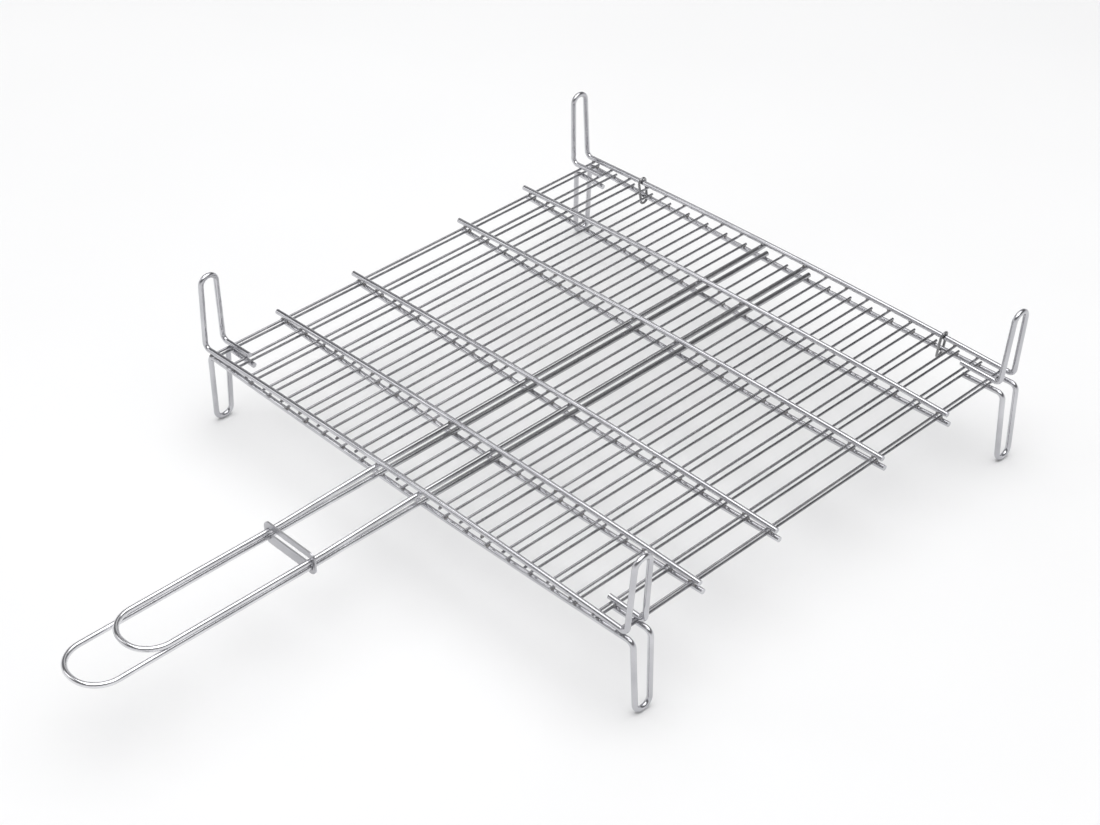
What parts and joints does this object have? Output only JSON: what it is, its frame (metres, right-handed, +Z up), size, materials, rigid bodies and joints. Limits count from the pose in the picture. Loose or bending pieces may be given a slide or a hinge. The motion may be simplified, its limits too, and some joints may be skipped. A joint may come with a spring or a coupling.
{
  "type": "grill basket",
  "caption": "Hinged wire grill basket: two rod grates on bent wire legs, joined by loose rings, with long wire handles and a sliding lock plate.",
  "frame": {"origin": "on the table, midway between the four feet that the basket stands on", "axes": "+X across the basket, +Y from the handles toward the hinge rings, +Z up"},
  "size_m": [0.4125, 0.6248, 0.1239],
  "materials": {
    "frame_wire": "bright plated steel wire, drawn 3.8 mm",
    "handle_wire": "bright plated steel wire, drawn 3.8 mm",
    "rod_wire": "bright plated steel wire, drawn 1.8 mm",
    "ring_wire": "plated steel wire, bent and left dull",
    "lock_plate": "punched sheet steel, plated"
  },
  "bodies": {
    "lower_grate": {"lower_cross_wire_1": "frame_wire", "lower_cross_wire_2": "frame_wire", "lower_cross_wire_3": "frame_wire", "lower_cross_wire_4": "frame_wire", "lower_front_wire": "frame_wire", "lower_handle": "handle_wire", "lower_rear_wire": "frame_wire", "lower_rod_01": "rod_wire", "lower_rod_02": "rod_wire", "lower_rod_03": "rod_wire", "lower_rod_04": "rod_wire", "lower_rod_05": "rod_wire", "lower_rod_06": "rod_wire", "lower_rod_07": "rod_wire", "lower_rod_08": "rod_wire", "lower_rod_09": "rod_wire", "lower_rod_10": "rod_wire", "lower_rod_11": "rod_wire", "lower_rod_12": "rod_wire", "lower_rod_13": "rod_wire", "lower_rod_14": "rod_wire", "lower_rod_15": "rod_wire", "lower_rod_16": "rod_wire", "lower_rod_17": "rod_wire", "lower_rod_18": "rod_wire", "lower_rod_19": "rod_wire"},
    "hinge_ring_left": {"hinge_ring_left": "ring_wire"},
    "upper_grate": {"upper_cross_wire_1": "frame_wire", "upper_cross_wire_2": "frame_wire", "upper_cross_wire_3": "frame_wire", "upper_cross_wire_4": "frame_wire", "upper_front_wire": "frame_wire", "upper_handle": "handle_wire", "upper_rear_wire": "frame_wire", "upper_rod_01": "rod_wire", "upper_rod_02": "rod_wire", "upper_rod_03": "rod_wire", "upper_rod_04": "rod_wire", "upper_rod_05": "rod_wire", "upper_rod_06": "rod_wire", "upper_rod_07": "rod_wire", "upper_rod_08": "rod_wire", "upper_rod_09": "rod_wire", "upper_rod_10": "rod_wire", "upper_rod_11": "rod_wire", "upper_rod_12": "rod_wire", "upper_rod_13": "rod_wire", "upper_rod_14": "rod_wire", "upper_rod_15": "rod_wire", "upper_rod_16": "rod_wire", "upper_rod_17": "rod_wire", "upper_rod_18": "rod_wire", "upper_rod_19": "rod_wire"},
    "hinge_ring_right": {"hinge_ring_right": "ring_wire"},
    "lock": {"lock_plate": "lock_plate"}
  },
  "joints": [
    {"name": "ring_left_swing", "type": "hinge", "parent": "lower_grate", "child": "hinge_ring_left", "pos_m": [-0.142, 0.1835, 0.05552], "axis": [-1, 0, 0], "range_deg": [0, 103.54]},
    {"name": "grate_fold", "type": "hinge", "parent": "hinge_ring_left", "child": "upper_grate", "pos_m": [-0.142, 0.1804, 0.06838], "axis": [-1, 0, 0], "range_deg": [0, 76.71]},
    {"name": "ring_right_swing", "type": "hinge", "parent": "lower_grate", "child": "hinge_ring_right", "pos_m": [0.142, 0.1835, 0.05552], "axis": [-1, 0, 0], "range_deg": [0, 103.54]},
    {"name": "lock_slide", "type": "slide", "parent": "lower_grate", "child": "lock", "axis": [0, -1, 0], "range_m": [0, 0.14]}
  ],
  "couplings": [
    {"joint": "grate_fold", "follows": "ring_left_swing", "ratio": 0.74082},
    {"joint": "ring_right_swing", "follows": "ring_left_swing", "ratio": 1}
  ]
}
